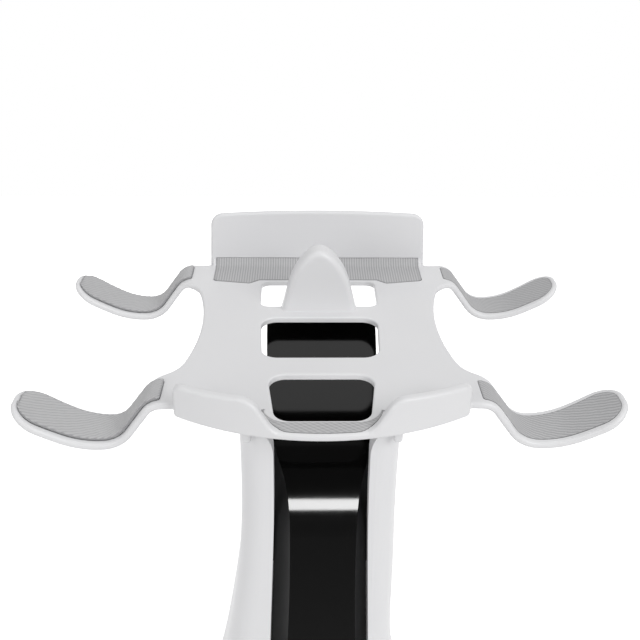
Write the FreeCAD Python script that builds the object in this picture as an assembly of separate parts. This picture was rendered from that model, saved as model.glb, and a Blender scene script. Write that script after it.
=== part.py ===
import FreeCAD, Part
import math
import os

# Stand for a headset and two controllers, in millimetres.
# X runs across, Y towards the back, Z up from the table.

# Tray plate, seen from above
tray_top = 240.0
tray_thickness = 3.0
front_arm_y = -19.0
arm_pitch = 102.0
front_y = -48.0
front_bow_radius = 110.0
body_half_width = 56.3
lip_corner_radius = 3.0
plate_rear_y = 96.3
edge_round = 1.3

# Notch between the front and the rear arm of a side
waist_half_width = 52.5
waist_radius = 118.0
notch_corner_radius = 14.5

# One arm: plan and rise
arm_root_gap = 5.7
arm_reach = 59.0
arm_root_half = 9.5
arm_spoon_reach = 40.0
arm_spoon_half = 11.3
arm_overrun = 1.0
arm_fillet = 1.6
tip_round = 10.0
shoulder_radius = 9.0
ramp_angle = 54.0
ramp_length = 12.3
valley_radius = 12.15
spoon_radius = 33.0
spoon_angle = 26.4
tip_radius = 117.0

# Pads let into the moulding
pad_depth = 1.0
pad_proud = 0.25
pad_gap = 0.15
pad_rim = 2.7
pad_root_gap = 0.4
pad_root_half = 6.5
pad_root_round = 1.2

# Windows through the plate: half widths at the front and the back edge
window_rear = (49.0, 74.2, 27.2, 27.4, 4.2)
window_middle = (4.9, 38.0, 24.6, 26.4, 7.0)
window_front = (-38.6, -8.1, 17.9, 21.8, 6.5)
window_round = 0.8

# Hump that carries the bridge of the nose
hump_front_y = 43.6
hump_depth = 10.6
hump_half_width = 17.6
hump_height = 29.7
hump_round = 2.6
hump_shoulder = (0.50, 0.785)
hump_side = (0.80, 0.40)
tab_inset = 1.0
tab_lap = 2.0

# Lips at the front
lip_depth = 4.0
lip_outer_height = 11.5
lip_inner_height = 13.2
lip_inner_x = 31.0
lip_round = 1.2
dip_angle = 59.0
dip_radius = 8.3
dip_sink = 0.5
lip_end_radius = 4.5

# Back plate
plate_inset = 1.7
plate_taper = 1.6
plate_edge_round = 1.8
plate_side_height = 26.8
plate_crown = 1.9
plate_thickness = 3.2
plate_corner_radius = 6.5
valley_back_radius = 5.0
rear_pad_inset = 3.2
rear_pad_corner = 2.0
rear_pad_step = 4.5
rear_pad_step_round = 1.5
rear_pad_front_y = 71.6
rear_pad_bow = 2.9
rear_pad_rise = 3.6
window_rim = 0.9

# Crescent pad in the dip
crescent_rim = 0.3
crescent_land = 1.2
crescent_bow_turn = 6.5
crescent_corner_radius = 6.5
crescent_corner_turn = 36.0
crescent_side_radius = 24.0
crescent_side_turn = 33.0
crescent_inner_half = 13.0
crescent_inner_radius = 9.74
crescent_inner_turn = 77.0

# Side path of the black front: toe, sweep up, face, roll back, slope
base_top = 14.0
panel_thickness = 2.0
panel_front_y = -31.0
toe_length = 15.0
toe_round = 9.0
toe_sweep_radius = 37.0
roll_radius = 38.0
roll_angle = 65.0
roll_drop = 67.0
slope_length = 62.0
liner_slope = 36.0
liner_depth = 5.0
liner_past = 1.0
fit_gap = 0.3
panel_shift = 1.1
room_depth = 70.0
room_half = 60.0

# Column
column_rear_y = 20.0
column_boss_radius = 5.0
column_boss_height = 46.0
column_screw_x = 44.0
column_screw_front_y = -18.0
column_screw_rear_y = 12.0
column_roof = 4.0
throat_front_y = -26.0
throat_rear_y = -6.0
throat_half_front = 20.5
throat_half_rear = 26.6
channel_wall = 2.8
column_wall = 2.8
rim_proud = 2.0
cheek_flare_radius = 16.0
cheek_flare_drop = 18.0

# Foot
base_half_width = 78.0
base_front_y = -96.3
base_rear_y = 39.0
base_corner = 44.0
base_round = 6.0
base_wall = 2.5
base_roof = 3.0
cover_top = 4.6
cover_bottom = 2.0
rubber_height = 3.4
rubber_radius = 8.0
rubber_round = 0.8
foot_edge_round = 0.8
rubber_inset_x = 36.0
rubber_inset_y = 24.0

# Bracket under the hump that meets the tray
neck_half = 18.0
neck_seat_half = 15.5
neck_seat_height = 9.0
neck_thickness = 3.0
neck_front_y = 5.0
neck_seat_inset = 3.9
web_half = 4.0
web_low = (5.0, 51.0)
web_rear = (17.0, 34.0)
web_front = (3.0, 30.0)
web_seat_drop = 4.0

# Screws
screw_radius = 1.5
screw_hole = 1.6
screw_head_radius = 2.8
screw_head_height = 1.8
screw_head_round = 0.6
hook_x = 29.0
hook_width = 3.6
hook_depth = 3.0
hook_length = 10.0
hook_round = 1.1
tray_screw_x = 9.0
tray_screw_bite = 8.0
column_screw_bite = 7.0
cover_screw_length = 6.0
cover_screw_inset_x = 22.0
cover_screw_inset_y = 22.0
cover_boss_radius = 4.0
cross_reach = 1.6
cross_half = 0.35
cross_depth = 0.9

# Heights of the column's profile as shares of its height over the foot
profile_shares = (0.045, 0.126, 0.26, 0.426, 0.596, 0.735, 0.874)

lip_half_width = body_half_width
plate_half_base = body_half_width - plate_inset
plate_half_top = plate_half_base - plate_taper
rear_pad_half = plate_half_base - rear_pad_inset
arm_root_x = body_half_width + arm_root_gap
arm_tip_x = arm_root_x + arm_reach
arm_spoon_x = arm_root_x + arm_spoon_reach
pad_root_x = arm_root_x + pad_root_gap
roll_start_z = tray_top - roll_drop
rear_arm_y = front_arm_y + arm_pitch
notch_y = front_arm_y + arm_pitch / 2
tray_under = tray_top - tray_thickness
neck_end_y = hump_front_y + neck_seat_inset
neck_rear_y = hump_front_y + hump_depth - 0.6
seam_z = tray_top - edge_round - 0.1
panel_base_z = base_top + panel_thickness
cover_screw_x = base_half_width - cover_screw_inset_x
rim_front_y = panel_front_y - rim_proud


def vec(x, y, z):
    """Point or direction from its three numbers."""
    return FreeCAD.Vector(x, y, z)


class Path:
    """A flat path of straight runs and tangent arcs, laid in a plane by a function."""

    def __init__(self, start, heading, runs, place):
        self.start = start
        self.heading = math.radians(heading)
        self.runs = runs
        self.place = place

    def edges(self, offset):
        """Edges of the path moved to its left by offset."""
        a = self.heading
        x = self.start[0] - offset * math.sin(a)
        y = self.start[1] + offset * math.cos(a)
        made = []
        for run in self.runs:
            if run[0] == "line":
                nx = x + run[1] * math.cos(a)
                ny = y + run[1] * math.sin(a)
                made.append(Part.LineSegment(self.place(x, y), self.place(nx, ny)).toShape())
            else:
                turn = math.radians(run[2])
                side = 1.0 if turn > 0 else -1.0
                radius = run[1] - side * offset
                cx = x - side * radius * math.sin(a)
                cy = y + side * radius * math.cos(a)
                points = []
                for part in (0.0, 0.5, 1.0):
                    b = a + turn * part
                    points.append(self.place(cx + side * radius * math.sin(b),
                                             cy - side * radius * math.cos(b)))
                made.append(Part.Arc(*points).toShape())
                nx = cx + side * radius * math.sin(a + turn)
                ny = cy - side * radius * math.cos(a + turn)
                a += turn
            x, y = nx, ny
        return made

    def frame(self, index, share, offset):
        """Plane position and heading at a share of one run."""
        a = self.heading
        x, y = self.start
        for number, run in enumerate(self.runs):
            part = share if number == index else 1.0
            if run[0] == "line":
                x += part * run[1] * math.cos(a)
                y += part * run[1] * math.sin(a)
            else:
                turn = math.radians(run[2]) * part
                side = 1.0 if turn > 0 else -1.0
                cx = x - side * run[1] * math.sin(a)
                cy = y + side * run[1] * math.cos(a)
                x = cx + side * run[1] * math.sin(a + turn)
                y = cy - side * run[1] * math.cos(a + turn)
                a += turn
            if number == index:
                break
        return x - offset * math.sin(a), y + offset * math.cos(a)

    def layer(self, low, high):
        """Face between two offsets of the path."""
        lower = self.edges(low)
        upper = self.edges(high)
        first = Part.LineSegment(lower[0].firstVertex(True).Point, upper[0].firstVertex(True).Point)
        last = Part.LineSegment(lower[-1].lastVertex(True).Point, upper[-1].lastVertex(True).Point)
        loop = lower + upper + [first.toShape(), last.toShape()]
        return Part.Face(Part.Wire(Part.__sortEdges__(loop)))


def line(p, q):
    """Straight edge between two points."""
    return Part.LineSegment(p, q).toShape()


def polygon(points):
    """Flat face on straight sides through the points."""
    return Part.Face(Part.makePolygon(points + [points[0]]))


def prism(face, low, high):
    """Upright solid on a flat outline drawn at height zero."""
    shape = face.copy()
    shape.translate(vec(0, 0, low))
    return shape.extrude(vec(0, 0, high - low))


def across(face, front, back):
    """Solid that runs along Y from an outline drawn at Y zero."""
    shape = face.copy()
    shape.translate(vec(0, front, 0))
    return shape.extrude(vec(0, back - front, 0))


def box(x0, x1, y0, y1, z0, z1):
    """Block between its two limits on each axis."""
    return Part.makeBox(x1 - x0, y1 - y0, z1 - z0, vec(x0, y0, z0))


def mirrored(shape):
    """The same shape on the other side of the middle plane."""
    return shape.mirror(vec(0, 0, 0), vec(1, 0, 0))


def upright_edges(solid, points, tolerance=0.3):
    """Edges parallel to Z that pass within a tolerance of given plan points."""
    found = []
    for edge in solid.Edges:
        a = edge.Vertexes[0].Point
        b = edge.Vertexes[-1].Point
        if abs(a.x - b.x) > 0.001 or abs(a.y - b.y) > 0.001:
            continue
        for x, y in points:
            if math.hypot(a.x - x, a.y - y) < tolerance:
                found.append(edge)
                break
    return found


def one_solid(shape):
    """The single solid of a boolean result, with its split faces merged."""
    clean = shape.removeSplitter()
    return clean.Solids[0]


def arm_path(side):
    """Top line of an arm from the middle of the tray to past its tip."""
    ramp = math.radians(ramp_angle)
    spoon = math.radians(spoon_angle)
    bends = (shoulder_radius + valley_radius) * math.sin(ramp) + spoon_radius * math.sin(spoon)
    rest = arm_reach + arm_overrun - bends - ramp_length * math.cos(ramp)
    tip_angle = math.degrees(math.asin(rest / tip_radius + math.sin(spoon)) - spoon)
    runs = [
        ("line", arm_root_x),
        ("arc", shoulder_radius, -ramp_angle),
        ("line", ramp_length),
        ("arc", valley_radius, ramp_angle),
        ("arc", spoon_radius, spoon_angle),
        ("arc", tip_radius, tip_angle),
    ]
    return Path((0.0, tray_top), 0.0, runs, lambda x, z: vec(side * x, 0, z))


def arm_half(x):
    """Half width of an arm at a distance from the middle."""
    share = (x - arm_root_x) / (arm_spoon_x - arm_root_x)
    return arm_root_half + share * (arm_spoon_half - arm_root_half)


def arm_end(y, inset):
    """Front and rear corner of an arm's straight end, rounded later to a blunt tip."""
    half = arm_half(arm_tip_x) - inset
    x = arm_tip_x - inset
    return vec(x, y - half, 0), vec(x, y + half, 0)


def waist_meets_arm(y_mid, side):
    """Where the waist arc meets the edge line of an arm, side +1 for the arm's rear edge."""
    cx = waist_half_width + waist_radius
    x = waist_half_width
    for _ in range(30):
        y = y_mid + side * arm_half(x)
        x = cx - math.sqrt(waist_radius ** 2 - (y - notch_y) ** 2)
    return x, y_mid + side * arm_half(x)


def tray_outline():
    """Half plan of the tray as a closed face, with the list of corners that are rounded."""
    bow_centre = front_y + front_bow_radius
    bow_x = lip_half_width
    bow_y = bow_centre - math.sqrt(front_bow_radius ** 2 - bow_x ** 2)
    bow_mid = vec(front_bow_radius * math.sin(math.asin(bow_x / front_bow_radius) / 2),
                  bow_centre - front_bow_radius * math.cos(math.asin(bow_x / front_bow_radius) / 2), 0)
    front_arm_edge = front_arm_y - arm_half(lip_half_width)
    rear_arm_edge = rear_arm_y + arm_half(plate_half_base)
    waist_front = waist_meets_arm(front_arm_y, 1)
    waist_rear = waist_meets_arm(rear_arm_y, -1)
    front_tip = arm_end(front_arm_y, 0.0)
    rear_tip = arm_end(rear_arm_y, 0.0)
    edges = [
        Part.Arc(vec(0, front_y, 0), bow_mid, vec(bow_x, bow_y, 0)).toShape(),
        line(vec(bow_x, bow_y, 0), vec(bow_x, front_arm_edge, 0)),
        line(vec(bow_x, front_arm_edge, 0), front_tip[0]),
        line(front_tip[0], front_tip[1]),
        line(front_tip[1], vec(waist_front[0], waist_front[1], 0)),
        Part.Arc(vec(waist_front[0], waist_front[1], 0), vec(waist_half_width, notch_y, 0),
                 vec(waist_rear[0], waist_rear[1], 0)).toShape(),
        line(vec(waist_rear[0], waist_rear[1], 0), rear_tip[0]),
        line(rear_tip[0], rear_tip[1]),
        line(rear_tip[1], vec(plate_half_base, rear_arm_edge, 0)),
        line(vec(plate_half_base, rear_arm_edge, 0), vec(plate_half_base, plate_rear_y, 0)),
        line(vec(plate_half_base, plate_rear_y, 0), vec(0, plate_rear_y, 0)),
        line(vec(0, plate_rear_y, 0), vec(0, front_y, 0)),
    ]
    corners = {
        "lip": (bow_x, bow_y),
        "arm_front": (bow_x, front_arm_edge),
        "waist": [waist_front, waist_rear],
        "plate": [(plate_half_base, rear_arm_edge), (plate_half_base, plate_rear_y)],
        "tips": [(p.x, p.y) for p in front_tip + rear_tip],
    }
    return Part.Face(Part.Wire(Part.__sortEdges__(edges))), corners


def tray_plan_solid():
    """Whole plan of the tray as a tall prism with its corners rounded."""
    face, corners = tray_outline()
    half = prism(face, tray_top - 60.0, tray_top + 20.0)
    half = half.makeFillet(notch_corner_radius, upright_edges(half, corners["waist"]))
    half = half.makeFillet(tip_round, upright_edges(half, corners["tips"]))
    half = half.makeFillet(lip_corner_radius, upright_edges(half, [corners["lip"]]))
    half = half.makeFillet(arm_fillet, upright_edges(half, [corners["arm_front"]]))
    half = half.makeFillet(plate_edge_round, upright_edges(half, corners["plate"]))
    return half.fuse(mirrored(half)).removeSplitter()


def window_plan(front, back, half_front, half_back, corner):
    """A window's prism with rounded corners."""
    points = [vec(-half_front, front, 0), vec(half_front, front, 0), vec(half_back, back, 0),
              vec(-half_back, back, 0)]
    solid = prism(polygon(points), tray_top - 20.0, tray_top + 10.0)
    return solid.makeFillet(corner, upright_edges(solid, [(p.x, p.y) for p in points]))


def sheet(side_low, side_high):
    """The tray's S-curved section run along the whole depth, between two offsets."""
    solids = []
    for side in (1, -1):
        face = arm_path(side).layer(side_low, side_high)
        solids.append(across(face, front_y - 5.0, plate_rear_y + 5.0))
    return solids[0].fuse(solids[1]).removeSplitter()


def is_wall(face):
    """True for a face that stands upright, as the cut edges of the plate do."""
    u0, u1, v0, v1 = face.ParameterRange
    return abs(face.normalAt((u0 + u1) / 2, (v0 + v1) / 2).z) < 0.02


def rim_edges(solid, inside=None):
    """Edges between an upright wall and the sheet, all of them or those with a middle in a box."""
    found = []
    for edge in solid.Edges:
        faces = solid.ancestorsOfType(edge, Part.Face)
        if len(faces) != 2 or is_wall(faces[0]) == is_wall(faces[1]):
            continue
        middle = edge.valueAt((edge.FirstParameter + edge.LastParameter) / 2)
        if inside is None or inside(middle):
            found.append(edge)
    return found


def in_window(point):
    """True between the sides of the window column."""
    front_limit = window_front[0] - 1.0
    return abs(point.x) < window_rear[3] + 1.0 and front_limit < point.y < window_rear[1] + 1.0


def hump_face():
    """Front outline of the hump: a parabola-like arch on a straight foot."""
    top = tray_top + hump_height
    foot = tray_top - tray_thickness / 2
    shoulder_x = hump_shoulder[0] * hump_half_width
    shoulder_z = tray_top + hump_shoulder[1] * hump_height
    side_x = hump_side[0] * hump_half_width
    side_z = tray_top + hump_side[1] * hump_height
    points = [
        vec(-hump_half_width, 0, foot),
        vec(-side_x, 0, side_z),
        vec(-shoulder_x, 0, shoulder_z),
        vec(0, 0, top),
        vec(shoulder_x, 0, shoulder_z),
        vec(side_x, 0, side_z),
        vec(hump_half_width, 0, foot),
    ]
    curve = Part.BSplineCurve()
    curve.interpolate(points)
    return Part.Face(Part.Wire([curve.toShape(), line(points[-1], points[0])]))


def hump():
    """The rounded hump, with its long edges softened."""
    solid = across(hump_face(), hump_front_y, hump_front_y + hump_depth)
    edges = [e for e in solid.Edges if e.BoundBox.ZMax > tray_top + hump_height / 2
             and e.BoundBox.YLength < 0.01]
    return solid.makeFillet(hump_round, edges)


def lip_profile():
    """Front outline of one half of the lips, from the outer end to the middle dip."""
    low = tray_top - 3 * edge_round
    inner = tray_top + lip_inner_height
    outer = tray_top + lip_outer_height
    rise = math.degrees(math.atan2(inner - outer, lip_half_width - lip_inner_x))
    fall = math.radians(dip_angle)
    bends = dip_radius * (math.cos(math.radians(rise)) - 2 * math.cos(fall) + 1)
    straight = (lip_inner_height + dip_sink - bends) / math.sin(fall)
    runs = [
        ("line", lip_half_width - lip_end_radius - lip_inner_x),
        ("arc", dip_radius, dip_angle + rise),
        ("line", straight),
        ("arc", dip_radius, -dip_angle),
        ("line", 2.0),
    ]
    start = (lip_half_width - lip_end_radius, outer)
    path = Path(start, 180.0 - rise, runs, lambda x, z: vec(x, 0, z))
    edges = path.edges(0.0)
    end = edges[-1].lastVertex(True).Point
    cut = lip_end_radius * (1 - math.sqrt(0.5))
    corner = [
        Part.Arc(vec(lip_half_width, 0, outer - lip_end_radius),
                 vec(lip_half_width - cut, 0, outer - cut),
                 vec(start[0], 0, outer)).toShape(),
        line(vec(lip_half_width, 0, low), vec(lip_half_width, 0, outer - lip_end_radius)),
        line(end, vec(end.x, 0, low)),
        line(vec(end.x, 0, low), vec(lip_half_width, 0, low)),
    ]
    return Part.Face(Part.Wire(Part.__sortEdges__(edges + corner)))


def lip(plan):
    """The right lip: a curved wall over the front edge, cut by its front outline."""
    centre = vec(0, front_y + front_bow_radius, tray_top - 10)
    inner = Part.makeCylinder(front_bow_radius - lip_depth, 60, centre)
    wall = plan.common(across(lip_profile(), front_y - 5, front_arm_y - arm_root_half + 3)).cut(inner)
    wall = one_solid(wall)
    edges = [e for e in rim_edges(wall) if e.BoundBox.ZMax > tray_top - 2 * edge_round]
    wall = wall.makeFillet(lip_round, edges)
    below = box(-lip_half_width, 2 * lip_half_width, front_y - 5, 0, tray_under - 5, seam_z)
    return wall.cut(below)


def back_plate():
    """The upright plate with its crowned top and rounded corners."""
    low = seam_z
    side_top = tray_top + plate_side_height
    points = [
        vec(-plate_half_base, 0, low),
        vec(-plate_half_top, 0, side_top),
        vec(plate_half_top, 0, side_top),
        vec(plate_half_base, 0, low),
    ]
    edges = [
        line(points[0], points[1]),
        Part.Arc(points[1], vec(0, 0, side_top + plate_crown), points[2]).toShape(),
        line(points[2], points[3]),
        line(points[3], points[0]),
    ]
    face = Part.Face(Part.Wire(edges))
    solid = across(face, plate_rear_y - plate_thickness, plate_rear_y)
    corners = [e for e in solid.Edges if e.BoundBox.YLength > plate_thickness - 0.01
               and abs(e.BoundBox.ZMax - side_top) < 0.5]
    solid = solid.makeFillet(plate_corner_radius, corners)
    rims = [e for e in solid.Edges if e.BoundBox.YLength < 0.01 and e.BoundBox.ZMax > low + 1.0]
    return solid.makeFillet(edge_round, rims)


def valley_bar():
    """Concave sweep from the plate up to the front of the back plate."""
    r = valley_back_radius
    y = plate_rear_y - plate_thickness + 0.2
    z = tray_top - 0.2
    bar = box(-plate_half_base + 1.6, plate_half_base - 1.6, y - r, y, z, z + r)
    cut = Part.makeCylinder(r, 4 * plate_half_base, vec(-2 * plate_half_base, y - r, z + r), vec(1, 0, 0))
    return bar.cut(cut)


def rear_pad_layer(low, high, grow):
    """A layer of the rear pad, which runs flat and then turns up against the back plate."""
    flat_end = plate_rear_y - plate_thickness - valley_back_radius
    turn = math.degrees(math.acos(1 - (rear_pad_rise + grow) / valley_back_radius))
    start_y = rear_pad_front_y - 6.0
    runs = [("line", flat_end - start_y), ("arc", valley_back_radius, turn)]
    path = Path((start_y, tray_top), 0.0, runs, lambda y, z: vec(0, y, z))
    half = rear_pad_half + grow
    face = path.layer(low, high)
    face.translate(vec(-half, 0, 0))
    return face.extrude(vec(2 * half, 0, 0))


def rear_pad_plan(grow):
    """Plan of the rear pad: bowed front edge that steps round the rear window's rim."""
    half = rear_pad_half + grow
    notch_half = window_rear[3] + window_rim + 0.8 - grow
    notch_y_edge = window_rear[1] + window_rim - grow
    front = rear_pad_front_y - grow
    points = [
        vec(-half, plate_rear_y, 0),
        vec(-half, front + rear_pad_bow, 0),
        vec(-notch_half - rear_pad_step, front, 0),
        vec(-notch_half, notch_y_edge, 0),
        vec(notch_half, notch_y_edge, 0),
        vec(notch_half + rear_pad_step, front, 0),
        vec(half, front + rear_pad_bow, 0),
        vec(half, plate_rear_y, 0),
    ]
    solid = prism(polygon(points), tray_top - 5, tray_top + 15)
    corners = [(points[1].x, points[1].y), (points[6].x, points[6].y)]
    solid = solid.makeFillet(rear_pad_corner + grow, upright_edges(solid, corners))
    return solid.makeFillet(rear_pad_step_round, upright_edges(solid, [(p.x, p.y) for p in points[2:6]]))


def rear_pad():
    """The pad in the valley before the back plate."""
    return one_solid(rear_pad_layer(-pad_depth, pad_proud, 0.0).common(rear_pad_plan(0.0)))


def crescent_plan(grow):
    """Plan of the crescent pad between the front window and the front edge."""
    inset = edge_round + crescent_rim
    outer_runs = [
        ("arc", front_bow_radius - inset, crescent_bow_turn),
        ("arc", crescent_corner_radius, crescent_corner_turn),
        ("arc", crescent_side_radius, crescent_side_turn + math.degrees(grow / crescent_side_radius)),
    ]
    inner_runs = [
        ("line", crescent_inner_half),
        ("arc", crescent_inner_radius, crescent_inner_turn + math.degrees(grow / crescent_inner_radius)),
    ]
    outer = Path((0.0, front_y + inset), 0.0, outer_runs, lambda x, y: vec(x, y, 0))
    inner = Path((0.0, window_front[0] - crescent_land), 0.0, inner_runs, lambda x, y: vec(x, y, 0))
    front = outer.edges(-grow)
    back = inner.edges(grow)
    tip = line(front[-1].lastVertex(True).Point, back[-1].lastVertex(True).Point)
    middle = line(front[0].firstVertex(True).Point, back[0].firstVertex(True).Point)
    face = Part.Face(Part.Wire(Part.__sortEdges__(front + back + [tip, middle])))
    half = prism(face, tray_top - 5, tray_top + 5)
    return half.fuse(mirrored(half)).removeSplitter()


def front_pad():
    """The crescent pad in the dip between the lips."""
    flat = box(-40, 40, front_y, 0, tray_top - pad_depth, tray_top + pad_proud)
    return one_solid(flat.common(crescent_plan(0.0)))


def arm_pad_plan(y, side, grow):
    """Plan of one arm's pad: straight at the root, round at the tip."""
    inset = pad_rim - grow
    root = pad_root_half + grow
    x0 = pad_root_x - grow
    low, high = arm_end(y, inset)
    root_corners = [vec(x0, y + root, 0), vec(x0, y - root, 0)]
    tip_corners = [low, high]
    solid = prism(polygon(root_corners + tip_corners), tray_top - 60, tray_top + 20)
    solid = solid.makeFillet(pad_root_round, upright_edges(solid, [(p.x, p.y) for p in root_corners]))
    solid = solid.makeFillet(tip_round - inset, upright_edges(solid, [(p.x, p.y) for p in tip_corners]))
    return solid if side > 0 else mirrored(solid)


def arm_pad(y, side, low, high, grow):
    """One arm's pad as a layer that follows the arm."""
    face = arm_path(side).layer(low, high)
    return one_solid(across(face, y - 20, y + 20).common(arm_pad_plan(y, side, grow)))


def hook(side):
    """Small tab under the front of the tray that holds the column's cheek."""
    y = rim_front_y - hook_depth
    solid = box(side * hook_x - hook_width / 2, side * hook_x + hook_width / 2, y, y + hook_depth,
                tray_under - hook_length, tray_under + 0.5)
    edges = [e for e in solid.Edges if e.BoundBox.ZLength < 0.01 and e.BoundBox.ZMax < tray_under
             or e.BoundBox.ZLength > hook_length / 2]
    return solid.makeFillet(hook_round, edges)


def tray():
    """The whole white moulding."""
    plan = tray_plan_solid()
    solid = sheet(-tray_thickness, 0.0).common(plan)
    for window in (window_rear, window_middle, window_front):
        solid = solid.cut(window_plan(*window))
    solid = one_solid(solid)
    solid = solid.makeFillet(edge_round, rim_edges(solid, lambda p: not in_window(p)))
    solid = solid.makeFillet(window_round, rim_edges(solid, in_window))
    right = one_solid(lip(plan))
    tab = box(-hump_half_width + tab_inset, hump_half_width - tab_inset, window_rear[0] - tab_lap,
              hump_front_y + hump_depth, tray_under, tray_top)
    for piece in (right, mirrored(right), hump(), tab, back_plate(), valley_bar(), hook(1), hook(-1)):
        solid = solid.fuse(piece)
    solid = one_solid(solid)
    for y in (front_arm_y, rear_arm_y):
        for side in (1, -1):
            solid = solid.cut(arm_pad(y, side, -pad_depth, 3.0, pad_gap))
    solid = solid.cut(rear_pad_layer(-pad_depth, 3.0, pad_gap).common(rear_pad_plan(pad_gap)))
    flat = box(-40, 40, front_y, 0, tray_top - pad_depth, tray_top + 5)
    solid = solid.cut(flat.common(crescent_plan(pad_gap)))
    for x, y in tray_screw_places():
        solid = solid.cut(Part.makeCylinder(screw_hole, 10.0, vec(x, y, tray_under - 1.0)))
    return one_solid(solid)


def side_path(slope=slope_length):
    """Side line of the black front, from the toe on the foot up to the end of its slope."""
    face_height = roll_start_z - panel_base_z - toe_sweep_radius
    start_y = panel_front_y - toe_sweep_radius - toe_length
    runs = [
        ("line", toe_length),
        ("arc", toe_sweep_radius, 90.0),
        ("line", face_height),
        ("arc", roll_radius, -roll_angle),
        ("line", slope),
    ]
    return Path((start_y, panel_base_z), 0.0, runs, lambda y, z: vec(0, y, z))


def side_layer(low, high, half, slope=slope_length):
    """Layer along the side path, as wide as twice a half width."""
    face = side_path(slope).layer(low, high)
    face.translate(vec(-half, 0, 0))
    return face.extrude(vec(2 * half, 0, 0))


def front_outline(rights, lefts):
    """Prism along Y of a front outline given as two lists of half width and height."""
    right = Part.BSplineCurve()
    right.interpolate([vec(w, 0, z) for w, z in rights])
    left = Part.BSplineCurve()
    left.interpolate([vec(-w, 0, z) for w, z in lefts])
    edges = [
        right.toShape(),
        left.toShape(),
        line(vec(-lefts[0][0], 0, lefts[0][1]), vec(rights[0][0], 0, rights[0][1])),
        line(vec(-lefts[-1][0], 0, lefts[-1][1]), vec(rights[-1][0], 0, rights[-1][1])),
    ]
    face = Part.Face(Part.Wire(Part.__sortEdges__(edges)))
    return across(face, base_front_y - 10, plate_rear_y)


def column_z(share):
    """Height of a share of the column, from the foot to the underside of the tray."""
    return base_top + share * (tray_under - base_top)


def panel_widths():
    """Half width of the glossy front at heights from the foot to the end of the slope."""
    stations = [(0.206, 17.4), (0.426, 15.5), (0.61, 14.2), (0.709, 14.0), (0.78, 14.4), (0.825, 16.4),
                (0.87, 21.0), (0.915, 23.8), (0.96, 25.0), (1.022, 25.2)]
    return [(19.0, base_top - 3)] + [(half, column_z(share)) for share, half in stations]


def column_panel():
    """The glossy front, wider at its head, with its long edges softened."""
    widths = panel_widths()
    rights = [(w + panel_shift, z) for w, z in widths]
    lefts = [(w - panel_shift, z) for w, z in widths]
    solid = one_solid(side_layer(-panel_thickness, 0.0, 40.0).common(front_outline(rights, lefts)))
    toe_y = solid.BoundBox.YMin
    toe = [e for e in solid.Edges if e.BoundBox.YMax < toe_y + 0.5 and e.BoundBox.ZLength > 1.0]
    return solid.makeFillet(toe_round, toe)


def liner_section(index, share, top, foot):
    """One cross section of the liner's bar, whose sloped flanks run past its two faces."""
    path = side_path()
    past = liner_past * (foot - top) / liner_depth
    ya, za = path.frame(index, share, -panel_thickness + liner_past)
    yb, zb = path.frame(index, share, -panel_thickness - liner_depth - liner_past)
    half_a = top - past
    half_b = foot + past
    points = [
        vec(-half_a + panel_shift, ya, za),
        vec(half_a + panel_shift, ya, za),
        vec(half_b, yb, zb),
        vec(-half_b, yb, zb),
    ]
    return Part.makePolygon(points + [points[0]])


def column_liner():
    """The satin carrier under the glossy front: a tapered bar that follows the same line."""
    stations = [
        (1, 0.3, 17.6, 26.4), (1, 0.6, 17.2, 25.6), (1, 0.8, 17.0, 25.4), (2, 0.0, 16.8, 25.2),
        (2, 0.45, 15.4, 23.6), (2, 0.8, 14.4, 22.0), (2, 1.0, 14.0, 21.0),
        (3, 0.25, 14.0, 20.6), (3, 0.5, 15.0, 20.6), (3, 0.75, 18.2, 22.6), (3, 1.0, 20.8, 25.4),
        (4, 0.2, 23.0, 27.4), (4, 0.4, 24.2, 28.4), (4, 0.66, 24.6, 28.6),
    ]
    wires = []
    for index, share, top, foot in stations:
        wires.append(liner_section(index, share, top, foot))
    bar = Part.makeLoft(wires, True, False)
    back = -panel_thickness - liner_depth
    room = channel(-fit_gap, -back).fuse(throat(-fit_gap))
    room = room.common(side_layer(back, -panel_thickness, room_half, liner_slope))
    above_foot = box(-room_half, room_half, base_front_y, plate_rear_y, base_top, tray_under)
    return one_solid(bar.common(room).common(above_foot))


def column_section(z, left, right, front, back, corner):
    """Closed rounded outline of the column at one height, drawn from its two side widths."""
    corner = min(corner, 0.49 * (back - front), 0.49 * (left + right))
    r = corner
    m = r * (1 - math.sqrt(0.5))
    f, b = front, back
    edges = [
        line(vec(-left + r, f, z), vec(right - r, f, z)),
        Part.Arc(vec(right - r, f, z), vec(right - m, f + m, z), vec(right, f + r, z)).toShape(),
        line(vec(right, f + r, z), vec(right, b - r, z)),
        Part.Arc(vec(right, b - r, z), vec(right - m, b - m, z), vec(right - r, b, z)).toShape(),
        line(vec(right - r, b, z), vec(-left + r, b, z)),
        Part.Arc(vec(-left + r, b, z), vec(-left + m, b - m, z), vec(-left, b - r, z)).toShape(),
        line(vec(-left, b - r, z), vec(-left, f + r, z)),
        Part.Arc(vec(-left, f + r, z), vec(-left + m, f + m, z), vec(-left + r, f, z)).toShape(),
    ]
    return Part.Wire(edges)


def column_stations():
    """Height, left and right half width, front and back of the column, corner radius."""
    forms = [
        (63.5, 60.0, rim_front_y - 19.0, 25.0, 24.0),
        (56.5, 48.0, rim_front_y - 8.0, 18.0, 18.0),
        (48.5, 38.2, rim_front_y - 3.0, 13.5, 14.0),
        (41.6, 33.6, rim_front_y - 1.0, 11.5, 11.5),
        (36.2, 32.5, rim_front_y - 0.3, 12.0, 10.0),
        (33.5, 31.6, rim_front_y, 14.5, 9.5),
        (32.6, 31.2, rim_front_y, 18.5, 9.5),
    ]
    foot = (base_top, 69.0, 68.5, rim_front_y - 33.0, 32.0, 32.0)
    head = (tray_under, 32.2, 31.0, rim_front_y, column_rear_y, 9.5)
    return [foot] + [(column_z(share),) + form for share, form in zip(profile_shares, forms)] + [head]


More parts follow.
